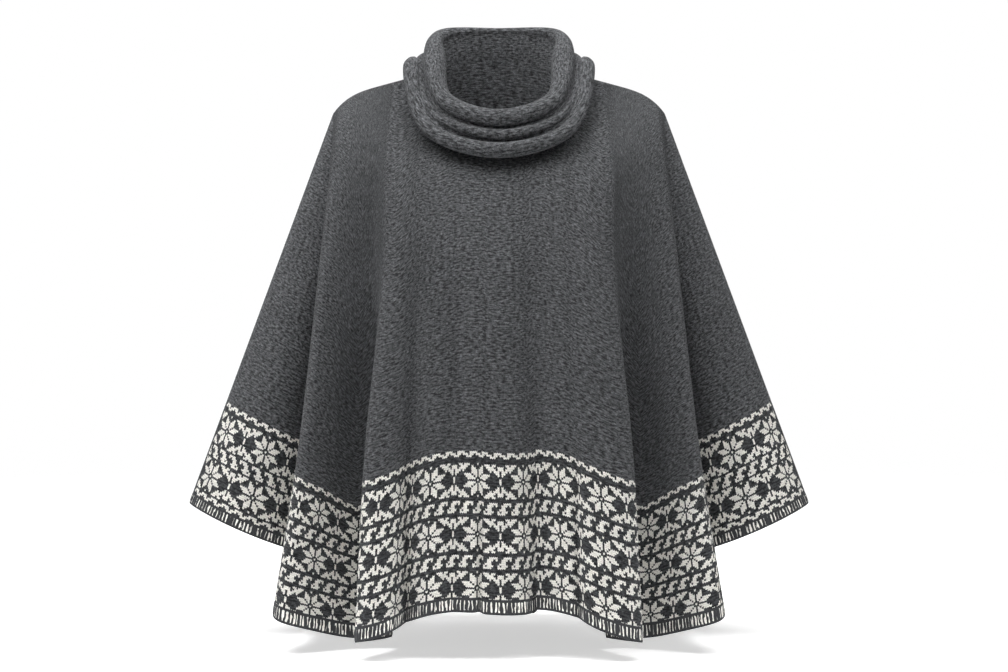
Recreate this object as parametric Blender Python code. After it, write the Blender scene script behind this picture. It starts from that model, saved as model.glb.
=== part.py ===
"""Fair isle poncho sweater, worn and hollow: a bell-shaped body of a front and a back panel with deep
hanging folds, two wide sleeves set into tall armholes, a cowl collar of three soft rolls, and marled
rib bands round the hem and the cuffs.

Metres, +Z up, +X to the right of someone who faces the front, front towards -Y. The origin is level
with the base of the neck, in the middle of the shoulders that carry the garment."""

import math

import bpy
import numpy as np

MM = 0.001
BODY_PANELS = ("front_panel", "back_panel")

# ---- cloth, mm -------------------------------------------------------------------------------------
WALL = 2.6  # a chunky two-yarn knit
SEAM_PULL = 0.31  # how far each piece stands back from a seam that lies flat
SHARPEST_SEAM = 0.2  # and up to 1 / this much further where the two pieces meet in a sharp valley
SHARP_ABOVE = 50.0  # degrees between two faces above which their edge is shaded sharp
HEM_RIB = 17.0  # height of the rib band round the body's hem
CUFF_RIB = 16.0  # height of the rib band round a cuff

# ---- shoulders and neckline, mm --------------------------------------------------------------------
NECK_HALF_WIDTH = 92.0
NECK_FRONT_Y, NECK_FRONT_Z = -90.0, -68.0
NECK_BACK_Y, NECK_BACK_Z = 88.0, 42.0
NECK_SIDE_Z = 29.0
NECK_SQUARENESS = 2.4  # 2 is an ellipse, seen from above
NECK_FALL = 1.25  # how late the neckline drops on its way to the front
SHOULDER_END_X = 222.0
SHOULDER_SLOPE = 0.27
SHOULDER_ROUND_X = 150.0  # the shoulder starts to round off here
SHOULDER_DROP = 20.0  # and has dropped this much more at its end
# Where a panel rolls over, as shares of the way from the seam to the yoke in x, y and z
SHOULDER_ROLL = (0.35, 0.60, 0.27)  # at the shoulder's end
NECK_ROLL = (0.35, 0.40, 0.54)  # at the side of the neck
NAPE_ROLL = (0.35, 0.08, 0.54)  # in the middle, where the cloth first hangs straight down

# ---- levels down the body, mm below the origin -----------------------------------------------------
ROLL_AT, YOKE_AT, CHEST_AT, UNDERARM_AT, WAIST_AT = 35.0, 90.0, 200.0, 310.0, 450.0

# One row for each line down the cloth, from the side seam to the middle, in mm. "top" is where it
# starts: 0 is the shoulder's end, 1 the neck, 2 the middle of the neckline. Then come x, y at each
# level and x, y, z at the hem. "steps" is the number of mesh columns up to the next line.
FRONT_LINES = (
    # name        steps  top    yoke        chest        underarm     waist        hem
    ("side_seam",    1, 0.00, (219, -44), (213, -60), (208, 0), (220, 0), (258, 0, -690)),
    ("side_wall",    1, 0.02, (220, -56), (220, -77), (213, -62), (228, -63), (270, -69, -688)),
    ("side_ridge",   1, 0.05, (222, -66), (233, -97), (244, -117), (260, -136), (296, -148, -681)),
    ("ridge_turn",   1, 0.11, (216, -77), (226, -116), (237, -145), (251, -169), (285, -187, -686)),
    ("fold_face",    2, 0.24, (197, -91), (205, -117), (214, -139), (224, -153), (246, -165, -700)),
    ("fold_inside",  2, 0.40, (176, -98), (180, -115), (184, -127), (186, -127), (192, -130, -716)),
    ("hidden_turn",  2, 0.52, (160, -101), (161, -119), (156, -130), (148, -129), (140, -134, -714)),
    ("panel_ridge",  1, 0.62, (150, -103), (147, -145), (156, -180), (172, -206), (187, -218, -708)),
    ("ridge_front",  2, 0.76, (138, -103), (133, -154), (143, -192), (158, -220), (172, -236, -703)),
    ("panel_outer",  2, 1.00, (112, -101), (104, -156), (110, -193), (121, -221), (132, -238, -690)),
    ("panel_mid",    2, 1.35, (76, -100), (71, -155), (75, -190), (82, -216), (89, -231, -671)),
    ("panel_inner",  2, 1.68, (38, -101), (36, -155), (38, -189), (41, -214), (45, -228, -668)),
    ("centre",       0, 2.00, (0, -102), (0, -155), (0, -188), (0, -213), (0, -227, -668)),
)
BACK_LINES = (
    # name        steps  top    yoke        chest        underarm     waist        hem
    ("side_seam",    1, 0.00, (219, 44), (213, 58), (208, 0), (220, 0), (258, 0, -690)),
    ("side_wall",    1, 0.02, (220, 56), (219, 74), (213, 58), (227, 58), (268, 60, -688)),
    ("side_ridge",   1, 0.05, (221, 64), (229, 86), (238, 96), (252, 102), (287, 106, -684)),
    ("ridge_turn",   1, 0.11, (213, 74), (221, 98), (228, 110), (241, 118), (274, 126, -687)),
    ("fold_face",    2, 0.24, (194, 86), (200, 110), (206, 122), (216, 130), (240, 138, -694)),
    ("fold_inside",  2, 0.40, (173, 94), (176, 112), (181, 115), (188, 117), (198, 124, -701)),
    ("hidden_turn",  2, 0.52, (156, 98), (158, 116), (158, 119), (159, 122), (160, 138, -701)),
    ("panel_ridge",  1, 0.62, (144, 100), (142, 124), (149, 138), (161, 147), (180, 154, -696)),
    ("ridge_front",  2, 0.76, (131, 101), (128, 129), (134, 146), (145, 158), (163, 166, -691)),
    ("panel_outer",  2, 1.00, (106, 102), (102, 130), (107, 148), (117, 162), (130, 174, -682)),
    ("panel_mid",    2, 1.35, (72, 104), (68, 128), (72, 143), (79, 158), (86, 175, -672)),
    ("panel_inner",  2, 1.68, (36, 105), (33, 126), (35, 139), (38, 153), (43, 173, -668)),
    ("centre",       0, 2.00, (0, 105), (0, 125), (0, 138), (0, 152), (0, 172, -668)),
)
# Soft troughs pressed into a panel, in mm: x and z where each starts and where it is deepest, its half
# width and its depth there. It deepens all the way down.
FRONT_TROUGHS = (
    # name             x0    z0    x1    z1  width depth
    ("left_long",    -110, -150, -120, -700,   19,   30),
    ("left_faint",    -54, -190,  -58, -470,   17,   11),
    ("right_inner",    42, -130,   56, -700,   27,   30),
    ("right_faint",    88, -200,  101, -700,   14,    8),
)
BACK_TROUGHS = (
    # name             x0    z0    x1    z1  width depth
    ("left_back",     -78, -150,  -92, -700,   24,   26),
    ("middle_back",     6, -200,   12, -700,   20,   16),
    ("right_back",     86, -150,  104, -700,   22,   24),
)
TROUGH_EASE = 5.0  # a trough has its full slope after a fifth of its length

# ---- sleeves, mm -----------------------------------------------------------------------------------
CUFF_OUTER = (419.0, -552.0)  # x, z of the cuff's outer end, on the seam over the arm
CUFF_LEAN = 23.4  # degrees by which the cuff's line tips down towards the body
CUFF_WIDTH = 166.0
CUFF_DEPTH = 104.0
CUFF_FULLNESS = 0.72  # 0.5 is an ellipse and 1 has pointed ends
SLEEVE_BULGE = 14.0  # mm by which a sleeve swells halfway down
SLEEVE_SPRING = 15.0  # mm by which its inner side stands off the body, just below the armhole
SLEEVE_SPRING_BY = 0.11  # share of the sleeve's length by which it has done so

# ---- collar, mm ------------------------------------------------------------------------------------
# Rows run round each ring from the front to the back: x, y, z and the roll's radius at five places.
COLLAR_RINGS = (
    # name       front             front corner       side             back corner      back
    ("roll_1", (0, -97, -33, 13), (67, -76, -12, 13), (86, 2, 46, 15.5), (78, 76, 80, 11), (0, 93, 87, 6)),
    ("roll_2", (0, -107, -54, 7.5), (80, -82, -31, 7), (106, -4, 32, 7), (93, 84, 55, 7), (0, 105, 62, 7)),
    ("roll_3", (0, -111, -74, 11), (91, -87, -47, 11), (115, -8, 33, 14), (101, 88, 36, 10), (0, 112, 42, 10)),
)
# The wall's path over the rolls: each row is a roll and the angle on it, in the middle of the front and
# then at the sides and the back. 90 points away from the roll below it and 0 points outwards.
COLLAR_PATH = (
    ("roll_1", 185, 185), ("roll_1", 135, 135), ("roll_1", 88, 88), ("roll_1", 42, 42), ("roll_1", -8, -8),
    ("roll_1", -64, -50), ("roll_2", 64, 44), ("roll_2", 0, 14), ("roll_2", -64, -8),
    ("roll_3", 64, 28), ("roll_3", 8, 0), ("roll_3", -45, -45), ("roll_3", -90, -90), ("roll_3", -135, -135),
)
# The cosine of the angle from the front at which the grooves start to change, and its fall until they have
COLLAR_FRONT_TURN, COLLAR_SIDE_TURN = 0.95, 0.7
COLLAR_LEG_BOW = 1.0  # mm by which the standing leg bows inwards between the neckline and the first roll
UPWARD_LEAN = 0.3  # the rolls lie on each other, so their outer side also faces up by about this share
COLLAR_RING_STEPS = 24  # points from one of the places of a ring to the next, from which it is read

# ---- mesh rows -------------------------------------------------------------------------------------
SHOULDER_ROWS = (0.0, 16.0, 35.0, 60.0, 90.0, 125.0, 160.0, 200.0, 240.0, 275.0, 300.0, 310.0)
SKIRT_SHARES = (0.2, 0.42, 0.64, 0.85)  # rows between the underarm and the hem's rib band
SLEEVE_SHARES = (0.0, 0.055, 0.11, 0.22, 0.35, 0.5, 0.65, 0.83, 1.0)

KNIT_GREY = (0.072, 0.075, 0.079, 1.0)  # heathered charcoal
RIB_GREY = (0.16, 0.16, 0.155, 1.0)  # charcoal and cream marl
KNIT_ROUGHNESS = 0.92


def monotone(stations, values, at):
    """Values on a smooth curve through the stations that never overshoots them."""
    x, y = np.asarray(stations, float), np.asarray(values, float)
    step, rise = np.diff(x), np.diff(y) / np.diff(x)
    slope = np.empty_like(y)
    slope[0], slope[-1] = rise[0], rise[-1]
    before, after = rise[:-1], rise[1:]
    weight_a, weight_b = 2 * step[1:] + step[:-1], step[1:] + 2 * step[:-1]
    turning = before * after <= 0
    safe_before, safe_after = np.where(turning, 1, before), np.where(turning, 1, after)
    mean = (weight_a + weight_b) / (weight_a / safe_before + weight_b / safe_after)
    slope[1:-1] = np.where(turning, 0, mean)
    k = np.clip(np.searchsorted(x, at, side="right") - 1, 0, len(step) - 1)
    t = (np.asarray(at, float) - x[k]) / step[k]
    h = step[k]
    return (
        (2 * t**3 - 3 * t**2 + 1) * y[k] + (t**3 - 2 * t**2 + t) * h * slope[k]
        + (3 * t**2 - 2 * t**3) * y[k + 1] + (t**3 - t**2) * h * slope[k + 1]
    )


def smoothly(points, steps, closed=False):
    """Points on a centripetal Catmull-Rom curve through points, steps[i] of them from point i to the
    next one."""
    p = np.asarray(points, float)
    if closed:
        ends = np.vstack([p[-1], p, p[0], p[1]])
    else:
        ends = np.vstack([2 * p[0] - p[1], p, 2 * p[-1] - p[-2]])
    found = []
    for i, count in enumerate(steps):
        a, b, c, d = ends[i:i + 4]
        gaps = [max(np.linalg.norm(q - o), 1e-6) ** 0.5 for o, q in ((a, b), (b, c), (c, d))]
        t0, t1, t2, t3 = np.cumsum([0.0, *gaps])
        for t in np.linspace(t1, t2, count, endpoint=False):
            ab = (t1 - t) / (t1 - t0) * a + (t - t0) / (t1 - t0) * b
            bc = (t2 - t) / (t2 - t1) * b + (t - t1) / (t2 - t1) * c
            cd = (t3 - t) / (t3 - t2) * c + (t - t2) / (t3 - t2) * d
            abc = (t2 - t) / (t2 - t0) * ab + (t - t0) / (t2 - t0) * bc
            bcd = (t3 - t) / (t3 - t1) * bc + (t - t1) / (t3 - t1) * cd
            found.append((t2 - t) / (t2 - t1) * abc + (t - t1) / (t2 - t1) * bcd)
    if not closed:
        found.append(p[-1])
    return np.array(found)


# ---- shoulders and neckline ------------------------------------------------------------------------
def shoulder_point(x):
    round_off = max(0.0, x - SHOULDER_ROUND_X) / (SHOULDER_END_X - SHOULDER_ROUND_X)
    return (x, 0.0, NECK_SIDE_Z - SHOULDER_SLOPE * (x - NECK_HALF_WIDTH) - SHOULDER_DROP * round_off**4)


def neckline_point(turn, back):
    """turn is 0 at the side of the neck and 1 in the middle of the front or the back."""
    angle = turn * math.pi / 2
    reach, end_z = (NECK_BACK_Y, NECK_BACK_Z) if back else (NECK_FRONT_Y, NECK_FRONT_Z)
    x = NECK_HALF_WIDTH * math.cos(angle) ** (2 / NECK_SQUARENESS) if turn < 1 else 0.0
    share = math.sin(angle) ** (2 / NECK_SQUARENESS)
    return (x, reach * share, NECK_SIDE_Z + (end_z - NECK_SIDE_Z) * share**NECK_FALL)


def top_point(top, back):
    if top <= 1:
        return shoulder_point(SHOULDER_END_X + (NECK_HALF_WIDTH - SHOULDER_END_X) * top)
    return neckline_point(top - 1, back)


# ---- body panels -----------------------------------------------------------------------------------
def line_down(row, back):
    """The stations of one line down the cloth, as depths and x, y, z."""
    _, _, top, yoke, chest, underarm, waist, hem = row
    start = np.array(top_point(top, back))
    yoke = np.array((*yoke, -YOKE_AT))
    shares = [np.interp(top, (0, 1, 2), roll) for roll in zip(SHOULDER_ROLL, NECK_ROLL, NAPE_ROLL)]
    roll = start + (yoke - start) * np.array(shares)
    stations = [start, roll, yoke, (*chest, -CHEST_AT), (*underarm, -UNDERARM_AT), (*waist, -WAIST_AT), hem]
    return [0.0, ROLL_AT, YOKE_AT, CHEST_AT, UNDERARM_AT, WAIST_AT, -hem[2]], np.array(stations)


def top_edge(lines, back):
    """The top of every mesh column, from +X to -X. The front and the back share it on the shoulders."""
    tops = []
    for row, after in zip(lines, lines[1:]):
        tops += list(np.linspace(row[2], after[2], row[1], endpoint=False))
    half = np.array([top_point(top, back) for top in (*tops, lines[-1][2])])
    return np.vstack([half, half[-2::-1] * (-1, 1, 1)])


def round_armhole(seam):
    """Gives the bottom of the armhole, between the chest and the underarm, the shape of a U."""
    share = (-seam[:, 2] - CHEST_AT) / (UNDERARM_AT - CHEST_AT)
    low = (share > 0) & (share < 1)
    widest = seam[np.argmin(np.abs(share)), 1]
    seam[low, 1] = widest * np.sqrt(1 - share[low] ** 2)


def panel_grid(lines, troughs, back):
    """The middle of a panel's wall, as rows from the shoulder to the hem and columns from +X to -X.
    The last row but one is the top of the rib band."""
    columns = []
    for row in lines:
        depths, stations = line_down(row, back)
        skirt = depths[-1] - HEM_RIB - UNDERARM_AT
        at = [*SHOULDER_ROWS, *(UNDERARM_AT + skirt * share for share in SKIRT_SHARES)]
        at += [depths[-1] - HEM_RIB, depths[-1]]
        columns.append(np.stack([monotone(depths, stations[:, k], at) for k in range(3)], axis=1))
    half = np.array(columns)
    round_armhole(half[0])
    flip = half[-2::-1] * (-1, 1, 1)
    steps = [row[1] for row in lines[:-1]]
    steps += steps[::-1]
    both = np.concatenate([half, flip])
    grid = np.array([smoothly(both[:, r], steps) for r in range(both.shape[1])])
    grid[0] = top_edge(lines, back)
    for trough in troughs:
        press(grid, trough, 1.0 if back else -1.0)
    return grid


def press(grid, trough, outward):
    """Pushes a soft trough into the panel, towards the inside."""
    _, x0, z0, x1, z1, width, depth = trough
    share = np.clip((grid[..., 2] - z0) / (z1 - z0), 0, 1)
    middle = x0 + (x1 - x0) * share
    deep = depth * share * (2 - share) * np.clip(share * TROUGH_EASE, 0, 1)
    grid[..., 1] -= outward * deep * np.exp(-(((grid[..., 0] - middle) / width) ** 2))


# ---- sleeves ---------------------------------------------------------------------------------------
def cuff_point(share, side):
    """A point of the cuff's edge. share is 0 at its inner end, 0.25 in the middle of the front, 0.5 at
    its outer end and 0.75 in the middle of the back."""
    lean = math.radians(CUFF_LEAN)
    along = (1 - math.cos(2 * math.pi * share)) / 2
    from_outer = (1 - along) * CUFF_WIDTH
    x = CUFF_OUTER[0] - from_outer * math.cos(lean)
    z = CUFF_OUTER[1] - from_outer * math.sin(lean)
    width = max(0.0, 4 * along * (1 - along)) ** CUFF_FULLNESS
    y = CUFF_DEPTH / 2 * width * (-1 if share < 0.5 else 1)
    return np.array((side * x, y, z))


def sleeve_grid(front, back, side):
    """The middle of a sleeve's wall, as rows from the armhole to the cuff, and columns round it from
    the underarm over the front, the shoulder and the back."""
    count = len(SHOULDER_ROWS)
    column = 0 if side > 0 else -1
    armhole = np.vstack([front[:count, column][::-1], back[1:count - 1, column]])
    closed = np.vstack([armhole, armhole[:1]])
    lengths = np.concatenate([[0], np.cumsum(np.linalg.norm(np.diff(closed, axis=0), axis=1))])
    over = lengths[count - 1]
    front_share = lengths[:count] / over / 2
    back_share = 0.5 + (lengths[count:-1] - over) / (lengths[-1] - over) / 2
    shares = np.concatenate([front_share, back_share])
    cuff = np.array([cuff_point(share, side) for share in shares])
    down = cuff - armhole
    length = np.linalg.norm(down, axis=1)
    rib = 1 - CUFF_RIB / length
    grid = []
    for t in (*(share * rib for share in SLEEVE_SHARES), np.ones(len(shares))):
        swell = SLEEVE_BULGE * np.sin(math.pi * t) * np.sin(2 * math.pi * shares)
        ease = np.clip(t / SLEEVE_SPRING_BY, 0, 1)
        spring = SLEEVE_SPRING * ease * (2 - ease) * (1 - t) * np.cos(math.pi * shares) ** 2
        points = armhole + down * t[:, None]
        points[:, 0] += side * spring
        points[:, 1] -= swell
        grid.append(points)
    return np.array(grid)


# ---- collar ----------------------------------------------------------------------------------------
def ring_points(row, columns):
    """The middle of one roll and its radius, at the angles where the neckline's columns stand."""
    half = np.array(row[1:], float)
    flip = half[-2:0:-1] * (-1, 1, 1, 1)
    whole = np.concatenate([half, flip])
    round_ring = smoothly(whole, [COLLAR_RING_STEPS] * len(whole), closed=True)
    angles = np.unwrap(np.arctan2(round_ring[:, 0], -round_ring[:, 1]))
    angles = np.append(angles, angles[0] + 2 * math.pi)
    closed = np.vstack([round_ring, round_ring[:1]])
    return np.stack([np.interp(columns, angles, closed[:, k]) for k in range(4)], axis=1)


def collar_grid(neckline):
    """The middle of the collar's wall, as rows from the neckline up over the rolls and columns round
    the neck."""
    columns = np.mod(np.arctan2(neckline[:, 0], -neckline[:, 1]) + 1e-9, 2 * math.pi)
    rings = {row[0]: ring_points(row, columns) for row in COLLAR_RINGS}
    first, last = rings["roll_1"][:, :3], rings["roll_3"][:, :3]
    out = np.stack([np.sin(columns), -np.cos(columns), np.zeros(len(columns))], axis=1)
    down = last - first
    down -= np.cross(out, (0, 0, 1)) * np.sum(down * np.cross(out, (0, 0, 1)), axis=1)[:, None]
    down /= np.linalg.norm(down, axis=1)[:, None]
    outward = np.cross(np.cross(out, (0, 0, 1)), down)
    outward *= np.sign(np.sum(outward * (out + (0, 0, UPWARD_LEAN)), axis=1))[:, None]
    path = []
    aside = np.clip((COLLAR_FRONT_TURN - np.cos(columns)) / COLLAR_SIDE_TURN, 0, 1)[:, None]
    aside = aside * aside * (3 - 2 * aside)
    for name, front, elsewhere in COLLAR_PATH:
        middle, radius = rings[name][:, :3], rings[name][:, 3:] - WALL / 2
        angle = np.radians(front + (elsewhere - front) * aside)
        path.append(middle + radius * (outward * np.cos(angle) - down * np.sin(angle)))
    leg = (neckline + path[0]) / 2 - out * COLLAR_LEG_BOW
    return np.array([neckline, leg, *path])


# ---- walls -----------------------------------------------------------------------------------------
class Sheet:
    """The middle of one piece's wall. ring is true where its last column joins its first."""

    def __init__(self, name, grid, ring, outward):
        self.name, self.grid, self.ring = name, np.array(grid), ring
        self.pull = np.zeros_like(self.grid)
        self.normal = self.normals() * outward

    def normals(self):
        down = np.gradient(self.grid, axis=0)
        if self.ring:
            along = (np.roll(self.grid, -1, axis=1) - np.roll(self.grid, 1, axis=1)) / 2
        else:
            along = np.gradient(self.grid, axis=1)
        found = np.cross(along, down)
        return found / np.linalg.norm(found, axis=2)[..., None]

    def edge_places(self):
        """Each place on the sheet's edge, as its row and column, with the unit vector that points from
        it into the sheet, square to the edge."""
        rows, columns = self.grid.shape[:2]
        found = []
        for row, inner in ((0, 1), (rows - 1, rows - 2)):
            for column in range(columns):
                if self.ring:
                    ends = (row, column - 1), (row, (column + 1) % columns)
                else:
                    ends = (row, max(column - 1, 0)), (row, min(column + 1, columns - 1))
                found.append(((row, column), self.inwards((row, column), (inner, column), ends)))
        if not self.ring:
            for column, inner in ((0, 1), (columns - 1, columns - 2)):
                for row in range(rows):
                    ends = (max(row - 1, 0), column), (min(row + 1, rows - 1), column)
                    found.append(((row, column), self.inwards((row, column), (row, inner), ends)))
        return found

    def inwards(self, place, inner, ends):
        along = self.grid[ends[1]] - self.grid[ends[0]]
        along /= np.linalg.norm(along)
        way = self.grid[inner] - self.grid[place]
        way -= along * np.dot(way, along)
        return way / np.linalg.norm(way)


def mitre_seams(sheets):
    """Where edges of two or more sheets meet, gives them one shared direction for their thickness, and
    pulls each back a little from the seam. Where both body panels meet a third piece, they count as one."""
    meeting = {}
    for sheet in sheets:
        for place, inwards in sheet.edge_places():
            key = tuple(np.round(sheet.grid[place], 3))
            meeting.setdefault(key, []).append((sheet, place, inwards))
    for places in meeting.values():
        names = {sheet.name for sheet, _, _ in places}
        if len(names) < 2:
            continue
        shared = np.zeros(3)
        for sheet, place, _ in places:
            is_half = len(names) == 3 and sheet.name in BODY_PANELS
            shared += sheet.normal[place] * (0.5 if is_half else 1.0)
        shared /= np.linalg.norm(shared)
        for sheet, place, way in places:
            sheet.normal[place] = shared
            others = [other for piece, _, other in places if piece is not sheet]
            closest = max(np.dot(way, other) for other in others)
            spread = max(math.sqrt(max(0.0, 1 - closest) / 2), SHARPEST_SEAM)
            sheet.pull[place] += SEAM_PULL / spread * (way - shared * np.dot(way, shared))


def build_wall(sheet, material):
    """One closed mesh: the sheet's outer face, its inner face and the rims between them."""
    rows, columns = sheet.grid.shape[:2]
    middle = sheet.grid + sheet.pull
    outer, inner = middle + sheet.normal * WALL / 2, middle - sheet.normal * WALL / 2
    points = np.vstack([outer.reshape(-1, 3), inner.reshape(-1, 3)]) * MM
    away = rows * columns
    around = columns if sheet.ring else columns - 1
    faces = []

    def at(row, column):
        return row * columns + column % columns

    for row in range(rows - 1):
        for column in range(around):
            corners = [at(row, column), at(row + 1, column), at(row + 1, column + 1), at(row, column + 1)]
            faces += [corners, [away + corner for corner in corners[::-1]]]
    for column in range(around):
        top, bottom = (at(0, column), at(0, column + 1)), (at(rows - 1, column + 1), at(rows - 1, column))
        faces += [[a, b, away + b, away + a] for a, b in (top, bottom)]
    if not sheet.ring:
        for row in range(rows - 1):
            left, right = (at(row + 1, 0), at(row, 0)), (at(row, columns - 1), at(row + 1, columns - 1))
            faces += [[a, b, away + b, away + a] for a, b in (left, right)]
    mesh = bpy.data.meshes.new(sheet.name)
    mesh.from_pydata(points.tolist(), [], faces)
    mesh.validate()
    turn_outwards(mesh)
    mesh.shade_smooth()
    mesh.set_sharp_from_angle(angle=math.radians(SHARP_ABOVE))
    mesh.materials.append(material)
    bpy.context.scene.collection.objects.link(bpy.data.objects.new(sheet.name, mesh))


def turn_outwards(mesh):
    """Flips every face if the mesh holds a negative volume."""
    volume = 0.0
    for face in mesh.polygons:
        corners = [mesh.vertices[v].co for v in face.vertices]
        for second, third in zip(corners[1:], corners[2:]):
            volume += corners[0].dot(second.cross(third))
    if volume < 0:
        mesh.flip_normals()


def knit(name, colour):
    """A matt knitted finish."""
    material = bpy.data.materials.new(name)
    material.use_nodes = True
    shader = material.node_tree.nodes["Principled BSDF"]
    shader.inputs["Base Color"].default_value = colour
    shader.inputs["Roughness"].default_value = KNIT_ROUGHNESS
    shader.inputs["Metallic"].default_value = 0.0
    return material


# ---- the garment -----------------------------------------------------------------------------------
def split_band(name, grid, ring, outward, band_name):
    """A piece and the rib band below it, which share one row of points."""
    return [Sheet(name, grid[:-1], ring, outward), Sheet(band_name, grid[-2:], ring, outward)]


def neckline_loop(front, back):
    """The points of both panels' necklines, once round from the middle of the front towards +X."""
    skip_front, skip_back = (
        sum(row[1] for row in lines if row[2] < 1) for lines in (FRONT_LINES, BACK_LINES)
    )
    neck_front, neck_back = front[0, skip_front:-skip_front], back[0, skip_back:-skip_back]
    middle = len(neck_front) // 2
    return np.vstack([neck_front[middle::-1], neck_back[1:-1], neck_front[:middle:-1]])


def garment():
    """Every sheet of the garment, before its wall is built."""
    front = panel_grid(FRONT_LINES, FRONT_TROUGHS, back=False)
    back = panel_grid(BACK_LINES, BACK_TROUGHS, back=True)
    sheets = split_band("front_panel", front, False, 1, "front_hem_rib")
    sheets += split_band("back_panel", back, False, -1, "back_hem_rib")
    for name, side in (("left", -1), ("right", 1)):
        sleeve = sleeve_grid(front, back, side)
        sheets += split_band(f"{name}_sleeve", sleeve, True, -side, f"{name}_cuff_rib")
    sheets.append(Sheet("cowl_collar", collar_grid(neckline_loop(front, back)), True, 1))
    return sheets


def main():
    for old in list(bpy.data.objects):
        bpy.data.objects.remove(old, do_unlink=True)
    sheets = garment()
    mitre_seams(sheets)
    for sheet in sheets:
        colour = RIB_GREY if sheet.name.endswith("_rib") else KNIT_GREY
        build_wall(sheet, knit(f"{sheet.name}_yarn", colour))


main()
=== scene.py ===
"""The finished looks of a fair isle poncho sweater, worn and hollow: knitted panels and sleeves with a
stranded border, a cowl of three soft rolls and marled rib bands. Lengths are in mm unless a name says
otherwise, +Z is up, and the front faces -Y."""

import functools
import math

import bpy
import numpy as np
from mathutils import Matrix, Vector


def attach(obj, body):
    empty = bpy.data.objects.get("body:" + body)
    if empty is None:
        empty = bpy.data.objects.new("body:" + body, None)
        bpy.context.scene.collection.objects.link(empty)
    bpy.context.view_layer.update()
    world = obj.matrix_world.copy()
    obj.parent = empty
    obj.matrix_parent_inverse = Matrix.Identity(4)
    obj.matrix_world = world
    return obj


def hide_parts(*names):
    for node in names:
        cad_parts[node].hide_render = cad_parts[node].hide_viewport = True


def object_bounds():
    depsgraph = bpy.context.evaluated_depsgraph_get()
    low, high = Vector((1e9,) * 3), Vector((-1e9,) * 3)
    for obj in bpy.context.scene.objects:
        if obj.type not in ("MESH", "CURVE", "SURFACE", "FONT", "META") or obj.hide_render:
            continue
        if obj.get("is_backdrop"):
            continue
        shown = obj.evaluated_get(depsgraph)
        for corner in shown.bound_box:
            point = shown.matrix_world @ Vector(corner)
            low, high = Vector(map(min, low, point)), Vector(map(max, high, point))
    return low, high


bl_info = {
    "name": "Fair isle poncho sweater",
    "version": (1, 0, 0),
    "blender": (4, 5, 0),
    "location": "View3D > Sidebar > Sweater",
    "description": "Knits a fair isle poncho sweater round its packed frame",
    "category": "Object",
}

MM = 0.001
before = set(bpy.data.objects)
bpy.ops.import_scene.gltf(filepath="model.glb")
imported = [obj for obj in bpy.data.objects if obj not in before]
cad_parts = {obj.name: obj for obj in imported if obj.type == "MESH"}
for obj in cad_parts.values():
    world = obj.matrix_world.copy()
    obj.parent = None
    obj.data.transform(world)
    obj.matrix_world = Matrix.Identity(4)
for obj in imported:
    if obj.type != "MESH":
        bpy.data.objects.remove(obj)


def linear(hex_colour):
    """An sRGB hex colour as linear red, green and blue."""
    shares = [int(hex_colour[i:i + 2], 16) / 255 for i in (1, 3, 5)]
    return [c / 12.92 if c <= 0.04045 else ((c + 0.055) / 1.055) ** 2.4 for c in shares]


# ---- sizes and colours a user may change ----
def length_property(name, description, mm):
    return bpy.props.FloatProperty(name=name, description=description, default=mm * MM, unit="LENGTH")


def colour_property(name, description, hex_colour):
    return bpy.props.FloatVectorProperty(
        name=name, description=description, default=linear(hex_colour), subtype="COLOR")


class SweaterSizes(bpy.types.PropertyGroup):
    wall: length_property("Cloth thickness", "Thickness of the two-yarn knit", 2.6)
    cell: length_property("Mesh cell", "Width of one mesh cell on the panels", 4.3)
    stitch: length_property("Stitch width", "Width of one knitted stitch", 2.6)
    rib_pitch: length_property("Rib pitch", "From one rib of the bands to the next", 5.2)
    rib_relief: length_property("Rib relief", "How far a rib stands proud", 0.7)


class SweaterColours(bpy.types.PropertyGroup):
    charcoal: colour_property("Charcoal", "Heathered main yarn", "#4F5052")
    ground: colour_property("Ground", "Darker yarn behind the border", "#3A3B3D")
    cream: colour_property("Off-white", "Pattern yarn", "#F1EFE8")


# ---- shoulders and neckline ----
NECK_HALF_WIDTH = 92.0
NECK_FRONT_Y, NECK_FRONT_Z = -90.0, -68.0
NECK_BACK_Y, NECK_BACK_Z = 88.0, 42.0
NECK_SIDE_Z = 29.0
NECK_SQUARENESS = 2.4
NECK_FALL = 1.25
SHOULDER_END_X = 222.0
SHOULDER_SLOPE = 0.27
SHOULDER_ROUND_X = 150.0
SHOULDER_DROP = 20.0
SHOULDER_ROLL = (0.35, 0.60, 0.27)
NECK_ROLL = (0.35, 0.40, 0.54)
NAPE_ROLL = (0.35, 0.08, 0.54)

# ---- body panels ----
HEM_RIB = 17.0
RIB_ROWS = 6  # mesh rows of the rib bands at hem and cuffs
# Depths of the levels below the neck's base. The hem's is that of the side seams.
ROLL_AT, YOKE_AT, CHEST_AT, UNDERARM_AT, WAIST_AT, HEM_AT = 35.0, 90.0, 200.0, 310.0, 450.0, 690.0

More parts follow.
